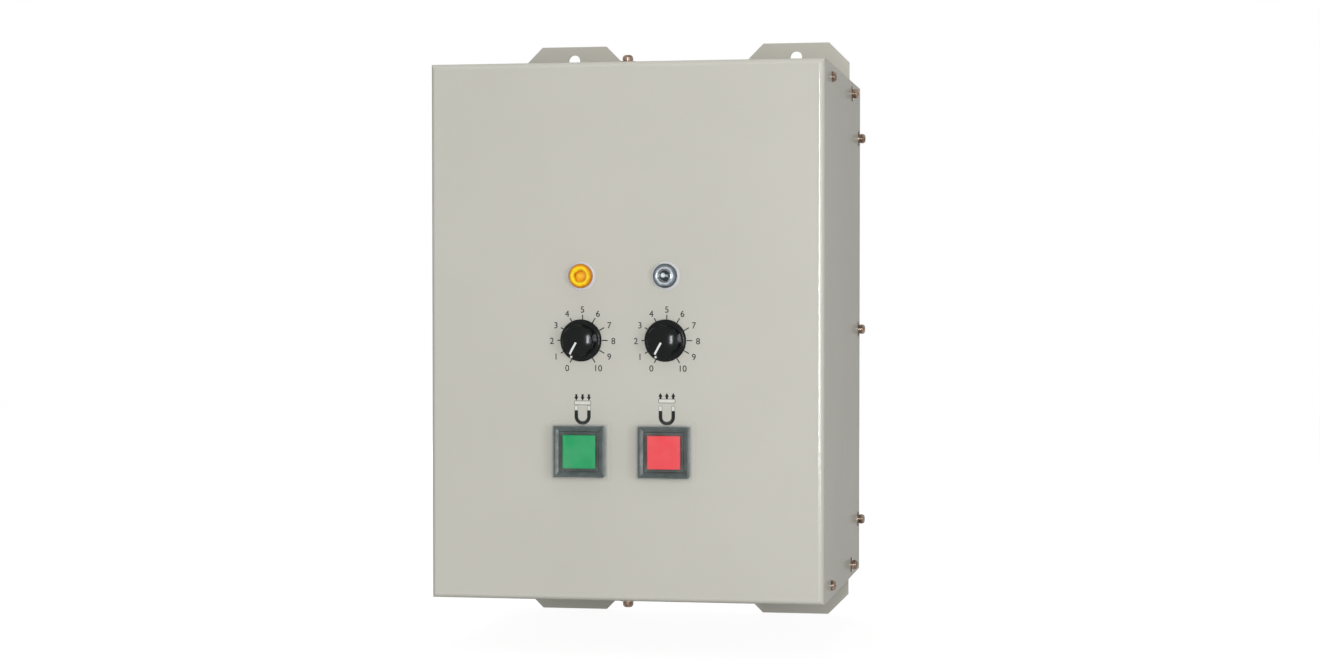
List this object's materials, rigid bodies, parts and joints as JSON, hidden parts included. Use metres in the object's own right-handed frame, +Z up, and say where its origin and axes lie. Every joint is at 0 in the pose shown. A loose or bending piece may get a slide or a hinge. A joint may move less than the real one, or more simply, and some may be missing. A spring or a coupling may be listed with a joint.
{
  "type": "magnetic chuck controller",
  "caption": "Wall-mounted sheet-metal control box for an electro-permanent magnetic chuck, with pilot lamps, setting dials and square push buttons.",
  "frame": {"origin": "middle of the four wall holes, on the rear face of the back plate", "axes": "+Z up, -Y out of the front panel, +X to the right when looking at the panel"},
  "size_m": [0.311, 0.2815, 0.484],
  "materials": {
    "case_paint": "warm light grey semi-gloss baked enamel",
    "bronze_fasteners": "brown passivated steel",
    "zinc_steel": "bright zinc plate",
    "black_phenolic": "polished black moulding",
    "pointer_white": "white paint fill",
    "bezel_plastic": "dark grey moulding",
    "black_plastic": "moulded",
    "green_plastic": "green cap",
    "red_plastic": "red cap",
    "amber_lens": "translucent amber moulding",
    "clear_lens": "clear moulding",
    "clear_silicone": "clear silicone",
    "shaft_steel": "turned steel",
    "nickel_brass": "nickel plated",
    "rubber": "moulded",
    "heatsink_aluminium": "extruded",
    "module_case": "epoxy-filled moulding",
    "copper": "copper strap",
    "core_steel": "varnished laminations",
    "coil_tape": "polyester tape",
    "board_green": "solder mask",
    "capacitor_sleeve": "shrink sleeve",
    "relay_case": "clear grey moulding",
    "connector_plastic": "nylon",
    "terminal_grey": "polyamide",
    "fuse_ceramic": "fired tube"
  },
  "bodies": {
    "case": {"back_plate": "case_paint", "top_wall": "case_paint", "bottom_wall": "case_paint", "front_cover": "case_paint", "left_side_angle": "zinc_steel", "right_side_angle": "zinc_steel", "cover_screws": "bronze_fasteners", "flat_washers": "bronze_fasteners", "spring_washers": "bronze_fasteners", "weld_nuts": "zinc_steel", "cable_grommets": "rubber", "lamp_bezels": "clear_lens", "left_lamp_lens": "amber_lens", "right_lamp_lens": "clear_lens", "lamp_bodies": "black_plastic", "lamp_nuts": "black_plastic", "potentiometers": "nickel_brass", "pot_washers": "zinc_steel", "pot_nuts": "nickel_brass", "left_button_housing": "bezel_plastic", "right_button_housing": "bezel_plastic", "left_button_boot": "clear_silicone", "right_button_boot": "clear_silicone", "lock_nuts": "black_plastic", "contact_blocks": "black_plastic", "green_spring": "shaft_steel", "red_spring": "shaft_steel", "heatsink": "heatsink_aluminium", "sink_spacers": "heatsink_aluminium", "thyristor_modules": "module_case", "busbars": "copper", "terminal_bolts": "zinc_steel", "transformer_core": "core_steel", "transformer_coil": "coil_tape", "transformer_feet": "zinc_steel", "control_board": "board_green", "board_spacers": "nickel_brass", "board_screws": "zinc_steel", "capacitors": "capacitor_sleeve", "relays": "relay_case", "board_connectors": "connector_plastic", "terminal_rail": "zinc_steel", "terminal_blocks": "terminal_grey", "terminal_screws": "zinc_steel", "fuse_holders": "black_plastic", "fuses": "fuse_ceramic", "earth_stud": "nickel_brass"},
    "left_dial": {"left_shaft": "shaft_steel", "left_knob": "black_phenolic", "left_pointer": "pointer_white", "left_grub_screw": "shaft_steel"},
    "right_dial": {"right_shaft": "shaft_steel", "right_knob": "black_phenolic", "right_pointer": "pointer_white", "right_grub_screw": "shaft_steel"},
    "green_button": {"green_cap": "green_plastic", "green_plunger": "black_plastic"},
    "red_button": {"red_cap": "red_plastic", "red_plunger": "black_plastic"}
  },
  "joints": [
    {"name": "left_dial_turn", "type": "hinge", "parent": "case", "child": "left_dial", "pos_m": [-0.0333, -0.265, -0.0063], "axis": [0, 1, 0], "range_deg": [0, 300]},
    {"name": "right_dial_turn", "type": "hinge", "parent": "case", "child": "right_dial", "pos_m": [0.0311, -0.265, -0.0063], "axis": [0, 1, 0], "range_deg": [0, 300]},
    {"name": "green_button_press", "type": "slide", "parent": "case", "child": "green_button", "axis": [0, 1, 0], "range_m": [0, 0.0035], "stiffness_N_per_m": 500, "springref_m": -0.001, "deforming": ["green_spring"]},
    {"name": "red_button_press", "type": "slide", "parent": "case", "child": "red_button", "axis": [0, 1, 0], "range_m": [0, 0.0035], "stiffness_N_per_m": 500, "springref_m": -0.001, "deforming": ["red_spring"]}
  ]
}
